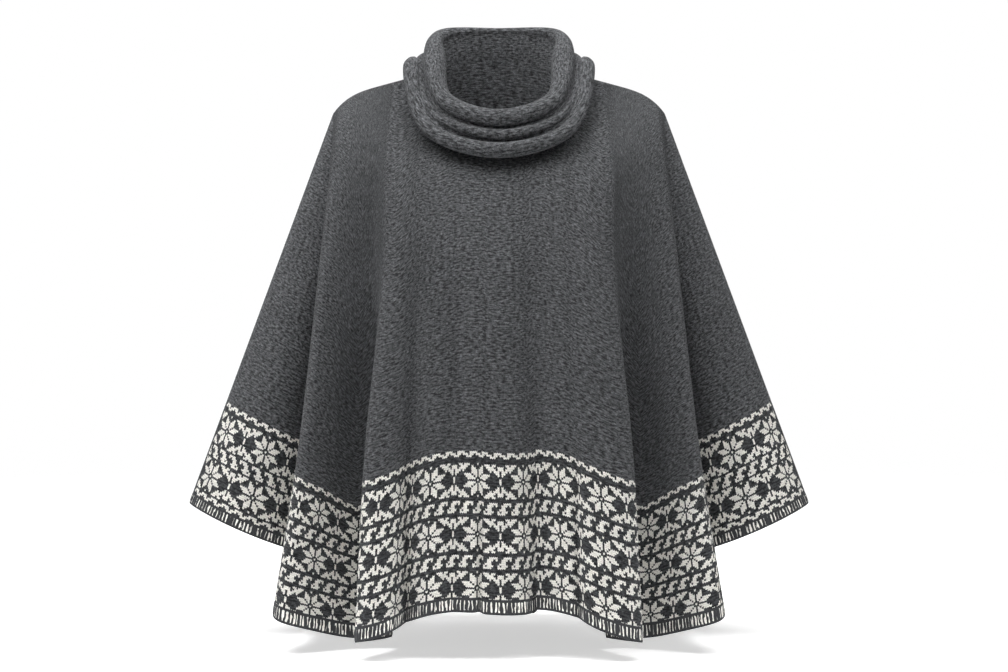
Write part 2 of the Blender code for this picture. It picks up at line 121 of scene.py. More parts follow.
# One row for each line down the cloth, from the side seam to the middle. "top" is where it starts: 0 is
# the shoulder's end, 1 the neck, 2 the middle of the neckline. Then x, y at each level, x, y, z at the
# hem, and the height of the patterned border above the rib band.
FRONT_LINES = (
    # name         top    yoke        chest        underarm     waist        hem                 border
    ("side_seam",   0.00, (219, -44), (213, -60), (208, 0), (220, 0), (258, 0, -690), 172),
    ("side_wall",   0.02, (220, -56), (220, -77), (213, -62), (228, -63), (270, -69, -688), 170),
    ("side_ridge",  0.05, (222, -66), (233, -97), (244, -117), (260, -136), (296, -148, -681), 167),
    ("ridge_turn",  0.11, (216, -77), (226, -116), (237, -145), (251, -169), (285, -187, -686), 168),
    ("fold_face",   0.24, (197, -91), (205, -117), (214, -139), (224, -153), (246, -165, -700), 165),
    ("fold_inside", 0.40, (176, -98), (180, -115), (184, -127), (186, -127), (192, -130, -716), 153),
    ("hidden_turn", 0.52, (160, -101), (161, -119), (156, -130), (148, -129), (140, -134, -714), 170),
    ("panel_ridge", 0.62, (150, -103), (147, -145), (156, -180), (172, -206), (187, -218, -708), 188),
    ("ridge_front", 0.76, (138, -103), (133, -154), (143, -192), (158, -220), (172, -236, -703), 187),
    ("panel_outer", 1.00, (112, -101), (104, -156), (110, -193), (121, -221), (132, -238, -690), 190),
    ("panel_mid",   1.35, (76, -100), (71, -155), (75, -190), (82, -216), (89, -231, -671), 187),
    ("panel_inner", 1.68, (38, -101), (36, -155), (38, -189), (41, -214), (45, -228, -668), 188),
    ("centre",      2.00, (0, -102), (0, -155), (0, -188), (0, -213), (0, -227, -668), 188),
)
BACK_LINES = (
    # name         top    yoke        chest        underarm     waist        hem                 border
    ("side_seam",   0.00, (219, 44), (213, 58), (208, 0), (220, 0), (258, 0, -690), 172),
    ("side_wall",   0.02, (220, 56), (219, 74), (213, 58), (227, 58), (268, 60, -688), 172),
    ("side_ridge",  0.05, (221, 64), (229, 86), (238, 96), (252, 102), (287, 106, -684), 174),
    ("ridge_turn",  0.11, (213, 74), (221, 98), (228, 110), (241, 118), (274, 126, -687), 176),
    ("fold_face",   0.24, (194, 86), (200, 110), (206, 122), (216, 130), (240, 138, -694), 178),
    ("fold_inside", 0.40, (173, 94), (176, 112), (181, 115), (188, 117), (198, 124, -701), 180),
    ("hidden_turn", 0.52, (156, 98), (158, 116), (158, 119), (159, 122), (160, 138, -701), 184),
    ("panel_ridge", 0.62, (144, 100), (142, 124), (149, 138), (161, 147), (180, 154, -696), 188),
    ("ridge_front", 0.76, (131, 101), (128, 129), (134, 146), (145, 158), (163, 166, -691), 188),
    ("panel_outer", 1.00, (106, 102), (102, 130), (107, 148), (117, 162), (130, 174, -682), 188),
    ("panel_mid",   1.35, (72, 104), (68, 128), (72, 143), (79, 158), (86, 175, -672), 188),
    ("panel_inner", 1.68, (36, 105), (33, 126), (35, 139), (38, 153), (43, 173, -668), 188),
    ("centre",      2.00, (0, 105), (0, 125), (0, 138), (0, 152), (0, 172, -668), 188),
)
# Soft troughs pressed into a panel: x and z where each starts and where it is deepest, its half width and
# its depth there. It deepens all the way down.
FRONT_TROUGHS = (
    # name             x0    z0    x1    z1  width depth
    ("left_long",    -110, -150, -120, -700,   19,   30),
    ("left_faint",    -54, -190,  -58, -470,   17,   11),
    ("right_inner",    42, -130,   56, -700,   27,   30),
    ("right_faint",    88, -200,  101, -700,   14,    8),
)
BACK_TROUGHS = (
    # name             x0    z0    x1    z1  width depth
    ("left_back",     -78, -150,  -92, -700,   24,   26),
    ("middle_back",     6, -200,   12, -700,   20,   16),
    ("right_back",     86, -150,  104, -700,   22,   24),
)
# Narrow pleats in the stiffer two-stranded border, which pinch its pattern.
FRONT_PLEATS = (
    ("left_pleat",   -119, -430, -121, -700,  5.5,   10),
    ("middle_pleat",  -23, -440,  -25, -700,  5.5,    9),
    ("right_pleat",    47, -430,   43, -700,  6.0,   11),
    ("outer_pleat",   100, -440,  104, -700,  5.5,    9),
)
BACK_PLEATS = (
    ("left_back_pleat",  -92, -430,  -94, -700, 5.5, 9),
    ("right_back_pleat", 101, -440,  105, -700, 5.5, 9),
)
TROUGH_EASE = 5.0  # a trough has its full slope after a fifth of its length
# The pleat whose hem hangs lower, from x to x, and by how much at each, and the width of its steps.
HEM_PLEAT = (-24.0, 50.0, 2.0, 7.0)
HEM_PLEAT_STEP = 4.0
PLEATED_FROM = 0.76  # the line whose top is here, from which the columns are finer
PLEATED_CELL, FOLD_CELL = 0.56, 1.25  # their widths, as shares of a mesh cell
SMOOTH_DOWN, SMOOTH_ACROSS = 60, 5  # passes of smoothing along the lines and across them

# ---- sleeves ----
CUFF_RIB = 16.0
CUFF_OUTER = (419.0, -552.0)
CUFF_LEAN = 23.4
CUFF_WIDTH = 166.0
CUFF_DEPTH = 104.0
CUFF_FULLNESS = 0.72
SLEEVE_BULGE = 14.0
SLEEVE_SPRING = 15.0
SLEEVE_SPRING_BY = 0.11
SLEEVE_BORDER = 132.0  # height of its patterned border above the rib band

# ---- collar ----
# Each roll's middle as x, y, z, and its radius, from the front round to the back.
COLLAR_RINGS = (
    # name      front              front corner        side              back corner        back
    ("roll_1", (0, -97, -33, 13), (67, -76, -12, 13), (86, 2, 46, 15.5), (78, 76, 80, 11), (0, 93, 87, 6)),
    ("roll_2", (0, -107, -54, 7.5), (80, -82, -31, 7), (106, -4, 32, 7), (93, 84, 55, 7), (0, 105, 62, 7)),
    ("roll_3", (0, -111, -74, 11), (91, -87, -47, 11), (115, -8, 33, 14), (101, 88, 36, 10),
     (0, 112, 42, 10)),
)
# The way up over the rolls: the roll, and the degrees round it in front and elsewhere.
COLLAR_PATH = (
    ("roll_1", 185, 185), ("roll_1", 135, 135), ("roll_1", 88, 88), ("roll_1", 42, 42), ("roll_1", -8, -8),
    ("roll_1", -52, -50), ("roll_1", -86, -78), ("roll_2", 86, 70), ("roll_2", 45, 38), ("roll_2", 0, 14),
    ("roll_2", -45, 0), ("roll_2", -86, -12), ("roll_3", 86, 36), ("roll_3", 45, 22), ("roll_3", 5, 0),
    ("roll_3", -45, -45), ("roll_3", -90, -90), ("roll_3", -135, -135),
)
COLLAR_FRONT_TURN, COLLAR_SIDE_TURN = 0.95, 0.7
COLLAR_LEG_BOW = 1.0
COLLAR_COLUMNS = 240
COLLAR_STEPS = 6  # mesh rows from one place of the path to the next
RING_STEPS = 24
UPWARD_LEAN = 0.3


def monotone(stations, values, at):
    """Values on a smooth curve through the stations that never overshoots them."""
    x, y = np.asarray(stations, float), np.asarray(values, float)
    step, rise = np.diff(x), np.diff(y) / np.diff(x)
    slope = np.empty_like(y)
    slope[0], slope[-1] = rise[0], rise[-1]
    before, after = rise[:-1], rise[1:]
    weight_a, weight_b = 2 * step[1:] + step[:-1], step[1:] + 2 * step[:-1]
    turning = before * after <= 0
    safe_before, safe_after = np.where(turning, 1, before), np.where(turning, 1, after)
    mean = (weight_a + weight_b) / (weight_a / safe_before + weight_b / safe_after)
    slope[1:-1] = np.where(turning, 0, mean)
    k = np.clip(np.searchsorted(x, at, side="right") - 1, 0, len(step) - 1)
    t = (np.asarray(at, float) - x[k]) / step[k]
    h = step[k]
    return (
        (2 * t**3 - 3 * t**2 + 1) * y[k] + (t**3 - 2 * t**2 + t) * h * slope[k]
        + (3 * t**2 - 2 * t**3) * y[k + 1] + (t**3 - t**2) * h * slope[k + 1]
    )


SMALLEST_GAP = 1e-6
# The knots between which each level of a centripetal curve blends its neighbouring points.
CURVE_LEVELS = (((0, 1), (1, 2), (2, 3)), ((0, 2), (1, 3)), ((1, 2),))


def smoothly(points, steps, closed=False):
    """Points on centripetal Catmull-Rom curves through points, steps[i] of them from point i to the next
    one. Every axis between the first and the last holds curves side by side."""
    p = np.asarray(points, float)
    if closed:
        ends = np.concatenate([p[-1:], p, p[:2]])
    else:
        ends = np.concatenate([2 * p[:1] - p[1:2], p, 2 * p[-1:] - p[-2:-1]])
    found = []
    for i, count in enumerate(steps):
        four = ends[i:i + 4]
        gaps = [np.linalg.norm(q - o, axis=-1, keepdims=True) for o, q in zip(four, four[1:])]
        gaps = [np.maximum(gap, SMALLEST_GAP) ** 0.5 for gap in gaps]
        knots = [0.0, gaps[0], gaps[0] + gaps[1], gaps[0] + gaps[1] + gaps[2]]
        for share in np.linspace(0, 1, count, endpoint=False):
            t = knots[1] + gaps[1] * share
            level = four
            for spans in CURVE_LEVELS:
                level = [
                    (knots[j] - t) / (knots[j] - knots[i]) * o + (t - knots[i]) / (knots[j] - knots[i]) * q
                    for (i, j), o, q in zip(spans, level, level[1:])
                ]
            found.append(level[0])
    if not closed:
        found.append(p[-1])
    return np.array(found)


def relaxed(grid, passes, axis, weight):
    """The grid after so many passes of pulling each point towards its two neighbours along an axis."""
    g = np.moveaxis(grid.copy(), axis, 0)
    w = np.moveaxis(np.broadcast_to(weight, grid.shape), axis, 0)[1:-1]
    for _ in range(passes):
        g[1:-1] += 0.5 * w * ((g[:-2] + g[2:]) / 2 - g[1:-1])
    return np.moveaxis(g, 0, axis)


def shoulder_point(x):
    round_off = max(0.0, x - SHOULDER_ROUND_X) / (SHOULDER_END_X - SHOULDER_ROUND_X)
    return (x, 0.0, NECK_SIDE_Z - SHOULDER_SLOPE * (x - NECK_HALF_WIDTH) - SHOULDER_DROP * round_off**4)


def neckline_point(turn, back):
    """turn is 0 at the side of the neck and 1 in the middle of the front or the back."""
    angle = turn * math.pi / 2
    reach, end_z = (NECK_BACK_Y, NECK_BACK_Z) if back else (NECK_FRONT_Y, NECK_FRONT_Z)
    x = NECK_HALF_WIDTH * max(0.0, math.cos(angle)) ** (2 / NECK_SQUARENESS) if turn < 1 else 0.0
    share = math.sin(angle) ** (2 / NECK_SQUARENESS)
    return (x, reach * share, NECK_SIDE_Z + (end_z - NECK_SIDE_Z) * share**NECK_FALL)


def top_point(top, back):
    if top <= 1:
        return shoulder_point(SHOULDER_END_X + (NECK_HALF_WIDTH - SHOULDER_END_X) * top)
    return neckline_point(top - 1, back)


def line_down(row, back):
    """The stations of one line down the cloth, as depths and x, y, z."""
    _, top, yoke, chest, underarm, waist, hem, _ = row
    start = np.array(top_point(top, back))
    yoke = np.array((*yoke, -YOKE_AT))
    shares = [np.interp(top, (0, 1, 2), roll) for roll in zip(SHOULDER_ROLL, NECK_ROLL, NAPE_ROLL)]
    roll = start + (yoke - start) * np.array(shares)
    stations = [start, roll, yoke, (*chest, -CHEST_AT), (*underarm, -UNDERARM_AT), (*waist, -WAIST_AT), hem]
    return [0.0, ROLL_AT, YOKE_AT, CHEST_AT, UNDERARM_AT, WAIST_AT, -hem[2]], np.array(stations)


def column_steps(cell):
    """Mesh columns from each of the front's lines to the next: wide in the folds, and finer over the
    panel, where the narrow pleats are."""
    low = np.array([((*row[5], -WAIST_AT), row[6]) for row in FRONT_LINES], float)
    wide = np.linalg.norm(np.diff(low, axis=0), axis=2).mean(axis=1)
    return [
        max(2, round(w / (cell * (PLEATED_CELL if row[1] >= PLEATED_FROM else FOLD_CELL))))
        for w, row in zip(wide, FRONT_LINES)
    ]


def round_armhole(seam):
    """Gives the bottom of the armhole, between the chest and the underarm, the shape of a U."""
    share = (-seam[:, 2] - CHEST_AT) / (UNDERARM_AT - CHEST_AT)
    low = (share > 0) & (share < 1)
    widest = seam[np.argmin(np.abs(share)), 1]
    seam[low, 1] = widest * np.sqrt(1 - share[low] ** 2)


def press(grid, trough, outward):
    """Pushes a soft trough into the panel, towards the inside."""
    _, x0, z0, x1, z1, width, depth = trough
    share = np.clip((grid[..., 2] - z0) / (z1 - z0), 0, 1)
    middle = x0 + (x1 - x0) * share
    deep = depth * share * (2 - share) * np.clip(share * TROUGH_EASE, 0, 1)
    grid[..., 1] -= outward * deep * np.exp(-(((grid[..., 0] - middle) / width) ** 2))


def lower_pleat(grid):
    """Lets the hem of the pleat in the middle of the front hang lower than the hem beside it."""
    x0, x1, least, most = HEM_PLEAT
    x, z = grid[..., 0], grid[..., 2]
    inside = np.clip((x - x0) / HEM_PLEAT_STEP, 0, 1) * np.clip((x1 - x) / HEM_PLEAT_STEP, 0, 1)
    share = np.clip((-z - WAIST_AT) / (HEM_AT - WAIST_AT), 0, 1)
    grid[..., 2] -= inside * (least + (most - least) * (x - x0) / (x1 - x0)) * share**2


def panel_grid(lines, troughs, back, cell):
    """The middle of a panel's wall, rows from the shoulder to the hem and columns from +X to -X, with the
    border's height for each column. The last RIB_ROWS rows belong to the rib band."""
    steps = column_steps(cell)
    above = np.linspace(0, UNDERARM_AT, round(UNDERARM_AT / cell))
    half = []
    for row in lines:
        depths, stations = line_down(row, back)
        end = depths[-1] - HEM_RIB
        skirt = np.linspace(UNDERARM_AT, end, round((HEM_AT - UNDERARM_AT) / cell))[1:]
        rib = np.linspace(end, depths[-1], RIB_ROWS + 1)[1:]
        at = np.concatenate([above, skirt, rib])
        half.append(np.stack([monotone(depths, stations[:, k], at) for k in range(3)], axis=1))
    half = np.array(half)
    both = np.concatenate([half, half[-2::-1] * (-1, 1, 1)])
    both_steps = steps + steps[::-1]
    grid = smoothly(both, both_steps).transpose(1, 0, 2)
    columns = np.arange(grid.shape[1])
    inward = np.minimum(columns, columns[::-1])
    near_seam = np.clip(inward / sum(steps[:2]), 0, 1)[None, :, None]
    edge = grid[:, [0, -1]].copy()
    for passes, axis in ((SMOOTH_DOWN, 0), (SMOOTH_ACROSS, 1)):
        grid = relaxed(grid, passes, axis, near_seam)
    for seam in (edge[:, 0], edge[:, 1]):
        round_armhole(seam)
    shift = edge - grid[:, [0, -1]]
    ease = np.clip(1 - inward / steps[0], 0, 1) ** 2
    nearer = (columns >= len(columns) // 2).astype(int)
    grid += shift[:, nearer] * ease[None, :, None]
    tops = []
    for row, after, count in zip(lines, lines[1:], steps):
        tops += list(np.linspace(row[1], after[1], count, endpoint=False))
    top = np.array([top_point(t, back) for t in (*tops, lines[-1][1])])
    grid[0] = np.vstack([top, top[-2::-1] * (-1, 1, 1)])
    for trough in troughs:
        press(grid, trough, 1.0 if back else -1.0)
    if not back:
        lower_pleat(grid)
    at_lines = np.concatenate([[0], np.cumsum(both_steps)])
    heights = [row[7] for row in lines]
    border = np.interp(columns, at_lines, heights + heights[-2::-1])
    return grid, border


def closed_up(grid):
    """The grid of a ring with its first column again after its last."""
    return np.concatenate([grid, grid[:, :1]], axis=1)


def lengths_along(grid, axis):
    """Distance along an axis of a grid from its first row or column."""
    steps = np.linalg.norm(np.diff(grid, axis=axis), axis=2)
    zero = np.zeros_like(np.take(steps, [0], axis=axis))
    return np.concatenate([zero, np.cumsum(steps, axis=axis)], axis=axis)


def cuff_point(share, side):
    """A point of the cuff's edge. share is 0 at its inner end, 0.25 in the middle of the front, 0.5 at
    its outer end and 0.75 in the middle of the back."""
    lean = math.radians(CUFF_LEAN)
    along = (1 - math.cos(2 * math.pi * share)) / 2
    from_outer = (1 - along) * CUFF_WIDTH
    x = CUFF_OUTER[0] - from_outer * math.cos(lean)
    z = CUFF_OUTER[1] - from_outer * math.sin(lean)
    width = max(0.0, 4 * along * (1 - along)) ** CUFF_FULLNESS
    y = CUFF_DEPTH / 2 * width * (-1 if share < 0.5 else 1)
    return np.array((side * x, y, z))


def sleeve_grid(front, back, side, cell):
    """The middle of a sleeve's wall, rows from the armhole to the cuff, and columns round it from the
    underarm over the front, the shoulder and the back."""
    count = round(UNDERARM_AT / cell)
    column = 0 if side > 0 else -1
    armhole = np.vstack([front[:count, column][::-1], back[1:count - 1, column]])
    closed = np.vstack([armhole, armhole[:1]])
    lengths = np.concatenate([[0], np.cumsum(np.linalg.norm(np.diff(closed, axis=0), axis=1))])
    over = lengths[count - 1]
    front_share = lengths[:count] / over / 2
    back_share = 0.5 + (lengths[count:-1] - over) / (lengths[-1] - over) / 2
    shares = np.concatenate([front_share, back_share])
    cuff = np.array([cuff_point(share, side) for share in shares])
    down = cuff - armhole
    length = np.linalg.norm(down, axis=1)
    rib = 1 - CUFF_RIB / length
    rows = round(length.mean() / cell)
    t = np.concatenate([
        rib * np.linspace(0, 1, rows)[:, None], rib + (1 - rib) * np.linspace(0, 1, RIB_ROWS + 1)[1:, None]])
    ease = np.clip(t / SLEEVE_SPRING_BY, 0, 1)
    grid = armhole + down * t[..., None]
    grid[..., 0] += side * SLEEVE_SPRING * ease * (2 - ease) * (1 - t) * np.cos(math.pi * shares) ** 2
    grid[..., 1] -= SLEEVE_BULGE * np.sin(math.pi * t) * np.sin(2 * math.pi * shares)
    return grid, count - 1


def ring_points(row, columns):
    """The middle of one roll and its radius, at the angles where the columns stand."""
    half = np.array(row[1:], float)
    flip = half[-2:0:-1] * (-1, 1, 1, 1)
    whole = np.concatenate([half, flip])
    ring = smoothly(whole, [RING_STEPS] * len(whole), closed=True)
    angles = np.unwrap(np.arctan2(ring[:, 0], -ring[:, 1]))
    angles = np.append(angles, angles[0] + 2 * math.pi)
    closed = np.vstack([ring, ring[:1]])
    return np.stack([np.interp(columns, angles, closed[:, k]) for k in range(4)], axis=1)


def neckline(columns):
    """Points of the neckline, once round from the middle of the front towards +X."""
    found = []
    for share in np.arange(columns) / columns:
        quarter = share * 4
        point = np.array(neckline_point(abs(1 - quarter % 2), 1 < quarter < 3))
        found.append(point * (1 if quarter <= 2 else -1, 1, 1))
    return np.array(found)


def collar_grid(wall):
    """The middle of the collar's wall, rows from the neckline up over the rolls and columns round the
    neck."""
    base = neckline(COLLAR_COLUMNS)
    columns = np.mod(np.arctan2(base[:, 0], -base[:, 1]) + 1e-9, 2 * math.pi)
    rings = {row[0]: ring_points(row, columns) for row in COLLAR_RINGS}
    first, last = rings["roll_1"][:, :3], rings["roll_3"][:, :3]
    out = np.stack([np.sin(columns), -np.cos(columns), np.zeros(len(columns))], axis=1)
    around = np.cross(out, (0, 0, 1))
    down = last - first
    down -= around * np.sum(down * around, axis=1)[:, None]
    down /= np.linalg.norm(down, axis=1)[:, None]
    outward = np.cross(around, down)
    outward *= np.sign(np.sum(outward * (out + (0, 0, UPWARD_LEAN)), axis=1))[:, None]
    path = []
    aside = np.clip((COLLAR_FRONT_TURN - np.cos(columns)) / COLLAR_SIDE_TURN, 0, 1)[:, None]
    aside = aside * aside * (3 - 2 * aside)
    for name, front, elsewhere in COLLAR_PATH:
        middle, radius = rings[name][:, :3], rings[name][:, 3:] - wall / 2
        angle = np.radians(front + (elsewhere - front) * aside)
        path.append(middle + radius * (outward * np.cos(angle) - down * np.sin(angle)))
    leg = (base + path[0]) / 2 - out * COLLAR_LEG_BOW
    return smoothly([base, leg, *path], [COLLAR_STEPS] * (len(path) + 1))


# ---- one closed shell of cloth ----
class Cloth:
    """The middle of one piece's wall, with its outward normals."""

    def __init__(self, name, grid, ring, outward):
        self.name, self.grid, self.ring = name, grid, ring
        down = np.gradient(grid, axis=0)
        along = np.roll(grid, -1, axis=1) - np.roll(grid, 1, axis=1) if ring else np.gradient(grid, axis=1)
        normal = np.cross(along, down) * outward
        self.normal = normal / np.linalg.norm(normal, axis=2)[..., None]

    def edge(self):
        """Row and column of every place on the piece's edge."""
        rows, columns = self.grid.shape[:2]
        places = [(r, c) for r in (0, rows - 1) for c in range(columns)]
        if not self.ring:
            places += [(r, c) for c in (0, columns - 1) for r in range(1, rows - 1)]
        return np.array(places).T


def share_seams(cloths):
    """Where edges of two or more pieces meet, gives them one shared normal, so the wall runs on from one
    piece to the next. Where both body panels meet a third piece, they count as one."""
    edges = [cloth.edge() for cloth in cloths]
    points = np.vstack([cloth.grid[r, c] for cloth, (r, c) in zip(cloths, edges)])
    normals = np.vstack([cloth.normal[r, c] for cloth, (r, c) in zip(cloths, edges)])
    owner = np.concatenate([np.full(e.shape[1], i) for i, e in enumerate(edges)])
    _, group = np.unique(np.round(points, 2), axis=0, return_inverse=True)
    group = group.reshape(-1)
    pairs = np.unique(np.stack([group, owner], axis=1), axis=0)
    pieces = np.bincount(pairs[:, 0], minlength=group.max() + 1)[group]
    is_panel = np.array([cloth.name.endswith("_panel") for cloth in cloths])[owner]
    weight = np.where((pieces >= 3) & is_panel, 0.5, 1.0)
    total = np.zeros((group.max() + 1, 3))
    np.add.at(total, group, normals * weight[:, None])
    shared = total / np.linalg.norm(total, axis=1)[:, None]
    chosen = np.where((pieces >= 2)[:, None], shared[group], normals)
    start = 0
    for cloth, (r, c) in zip(cloths, edges):
        cloth.normal[r, c] = chosen[start:start + len(r)]
        start += len(r)


def build_shell(name, middle, reach, ring, across, down, material):
    """A closed mesh with an outer face, an inner face and rims. reach leads from the middle of the wall to
    its outer face, and across and down are the stitch places of the grid's points. On a ring, across has
    one more column, for the seam."""
    rows, columns = middle.shape[:2]
    points = np.vstack([(middle + reach).reshape(-1, 3), (middle - reach).reshape(-1, 3)]) * MM
    away = rows * columns
    around = columns if ring else columns - 1
    r, c = np.indices((rows - 1, around)).reshape(2, -1)
    spots = np.stack([[r, c], [r + 1, c], [r + 1, c + 1], [r, c + 1]])
    corners = spots[:, 0] * columns + spots[:, 1] % columns
    faces = [corners.T, away + corners[::-1].T]
    places = [spots.transpose(2, 0, 1), spots[::-1].transpose(2, 0, 1)]
    r, c = np.arange(rows - 1), np.arange(around)
    rims = [
        [np.stack([np.full(around, row), c + end]) for end in ends]
        for row, ends in ((0, (0, 1)), (rows - 1, (1, 0)))]
    if not ring:
        rims += [
            [np.stack([r + end, np.full(rows - 1, column)]) for end in ends]
            for column, ends in ((0, (1, 0)), (columns - 1, (0, 1)))]
    for a, b in rims:
        at_a, at_b = a[0] * columns + a[1] % columns, b[0] * columns + b[1] % columns
        faces.append(np.stack([at_a, at_b, away + at_b, away + at_a], axis=1))
        places.append(np.stack([a, b, b, a], axis=0).transpose(2, 0, 1))
    faces, places = np.vstack(faces), np.vstack(places)
    a, b, c, d = (points[faces[:, k]] for k in range(4))
    if np.sum(a * (np.cross(b, c) + np.cross(c, d))) < 0:  # six times the volume
        faces, places = faces[:, ::-1], places[:, ::-1]
    name += KNIT
    mesh = bpy.data.meshes.new(name)
    mesh.from_pydata(points, (), faces)
    stitches = mesh.uv_layers.new(name=STITCH_MAP)
    r, c = places[..., 0], places[..., 1]
    u = across[r, c] if ring else across[r, np.minimum(c, columns - 1)]
    v = down[r, c % columns]
    stitches.data.foreach_set("uv", np.stack([u, v], axis=-1).astype(np.float32).ravel())
    mesh.shade_smooth()
    mesh.set_sharp_from_angle(angle=math.radians(SHARP_ABOVE))
    mesh.materials.append(material)
    piece = bpy.data.objects.new(name, mesh)
    bpy.context.scene.collection.objects.link(piece)
    return piece


# ---- the pattern chart ----
STITCH_MAP = "stitches"
KNIT = "_knit"  # what a piece's name adds to its CAD node's
SHARP_ABOVE = 50.0  # degrees between two faces above which their edge is shaded sharp
CHART_ROWS = 32.0  # rows that the chart has room for
MOST_ROWS = 128.0  # rows that a border has room for
# An eight-petalled star and the lozenges between two stars, from the star's middle to the lozenges',
# one row for each step away from the band's middle row. The rest is its mirror image.
STAR_QUARTER = (
    "#............#",
    "..####.......#",
    ".#.####.......",
    ".##.####....#.",
    ".###.......##.",
    ".###....#.###.",
    "..##...####.##",
    "...#..####..##",
    "#....###.##...",
)
ROPE = ("...####", "..###.#", "..##...", ".###...", "#.###..", "####...")
DOTS = ("##...##", ".###.##", "...###.")
CHART = (*STAR_QUARTER[:0:-1], *STAR_QUARTER, *ROPE, *DOTS, "." * len(DOTS[0]))
# Each motif's first row of the chart, and the stitches after which it repeats.
MOTIFS = {
    "star": (0, 26),
    "rope": (17, 7),
    "dots": (23, 7),
    "gap": (26, 7),
}
# Each border's motifs and their rows, from the top down.
BODY_BORDER = (
    ("dots", 4), ("gap", 2), ("star", 17), ("gap", 2), ("rope", 6), ("gap", 2), ("star", 17), ("gap", 2),
    ("rope", 6), ("gap", 2), ("star", 13),
)
SLEEVE_ROWS = (
    ("dots", 3), ("gap", 2), ("star", 17), ("gap", 1), ("rope", 6), ("gap", 1), ("star", 17), ("gap", 1),
    ("dots", 3),
)
SLEEVE_PLAIN = 3.0  # plain stitches to each side of the fold over the arm
MIRRORED_ABOVE = 20.0  # a motif with a longer repeat than this is mirrored about its middle
STAR_HALF = 13.0  # stitches from the middle of a star to the middle between two
LONGEST_REPEAT = 32.0  # stitches that a motif has room for
STOP_EARLY = 0.25  # of a row, by which a ramp's stop lies before its row
STITCH_SLANT = 0.55  # of a row, by which the legs of a stitch rise from its foot
STRAY = 0.3  # of a stitch, by which the yarns' edges wander
STRAY_SCALE = 520.0  # per metre
GRAIN_SCALE = 430.0  # per metre: mixed fibres lie closer than 1 mm, and are drawn 2.3 mm apart to show
GRAIN_SPAN = (0.25, 0.75)  # the noise of the darkest and the lightest fibres
HEATHER, CREAM_HEATHER = 0.42, 0.1  # how much lighter and darker than the yarn its fibres are
UNEVEN, CREAM_UNEVEN = 0.72, 0.06  # how much lighter and darker than the yarn whole rows are in places
# Light and dark fibres run on along a row, over some 3 stitches of 2.6 mm, and the streaks are as high
# as a row, 2.6 mm. The fibres themselves are far finer, and are drawn this coarse to show.
COURSE_STRETCH = (0.34, 1.1, 1.0)
COURSE_SPAN = (0.36, 0.64)
PATCH_SCALE = 26.0  # per metre, uneven yarn some 40 mm apart
PATCH_SHADES = (0.3, 0.7, 0.94, 1.06)  # from one noise to another, the shade from one to another
YARN_PAINTED_SHADE_AND_HIGHLIGHT = (0.62, 1.12)  # painted shade between the yarns and painted highlight on their crowns
YARN_RELIEF, RIB_YARN_RELIEF = 0.7, 0.5  # of the bump
# The off-white dashes of the ribs, in ribs across and bands down: how they wander, where they are thin or
# missing, how far from the band's middle they fade out, and how soft their edges are.
DASH_STRETCH, DASH_STRAY = (1.3, 1.1, 1.0), 1.5
DASH_GAP_STRETCH, DASH_GAP_SCALE, DASH_GAPS = (1.0, 0.6, 1.0), 0.9, (0.35, 0.65, 1.0, -0.1)
DASH_ENDS = (0.30, 0.42, 0.0, 1.6)
DASH_EDGE = 0.3
DASH_HEATHER = (0.7, 1.3)  # the shades of its darkest and lightest fibres


def add(tree, kind, inputs, **settings):
    """Adds a node with its settings, sets or links its inputs, and returns its outputs. The inputs are a
    dictionary, or a sequence of the first ones."""
    node = tree.nodes.new(kind)
    for name, value in settings.items():
        setattr(node, name, value)
    for key, value in inputs.items() if isinstance(inputs, dict) else enumerate(inputs):
        if isinstance(value, bpy.types.NodeSocket):
            tree.links.new(value, node.inputs[key])
        else:
            node.inputs[key].default_value = value
    return node.outputs


# The shader of brushed wool: matt and slightly furry.
BRUSHED_WOOL = {
    "Roughness": 0.95, "Specular IOR Level": 0.15, "Sheen Weight": 0.08, "Sheen Roughness": 0.5,
    "Sheen Tint": (0.75, 0.77, 0.8, 1.0),
}


def shaded(name, constants):
    """A new material whose shader has these constants, its tree and its shader's inputs."""
    material = bpy.data.materials.new(name)
    material.use_nodes = True
    shader = material.node_tree.nodes["Principled BSDF"].inputs
    for key, value in constants.items():
        shader[key].default_value = value
    return material, material.node_tree, shader


def rgba(colour):
    return (*colour, 1.0)


def looked_up(tree, number, room, stops):
    """Three numbers for a whole number, looked up in the constant stops of a colour ramp. Each stop has
    the whole number from which it holds, less than room, and its three numbers."""
    at = add(tree, "ShaderNodeMath", (number, 1 / room, 0.5 / room), operation="MULTIPLY_ADD")[0]
    found = add(tree, "ShaderNodeValToRGB", (at,))[0]
    ramp = found.node.color_ramp
    ramp.interpolation = "CONSTANT"
    while len(ramp.elements) < len(stops):
        ramp.elements.new(1.0)
    for element, (start, numbers) in zip(ramp.elements, stops):
        element.position = max(0.0, start - STOP_EARLY) / room
        element.color = (*numbers, 1.0)
    return add(tree, "ShaderNodeSeparateColor", (found,))


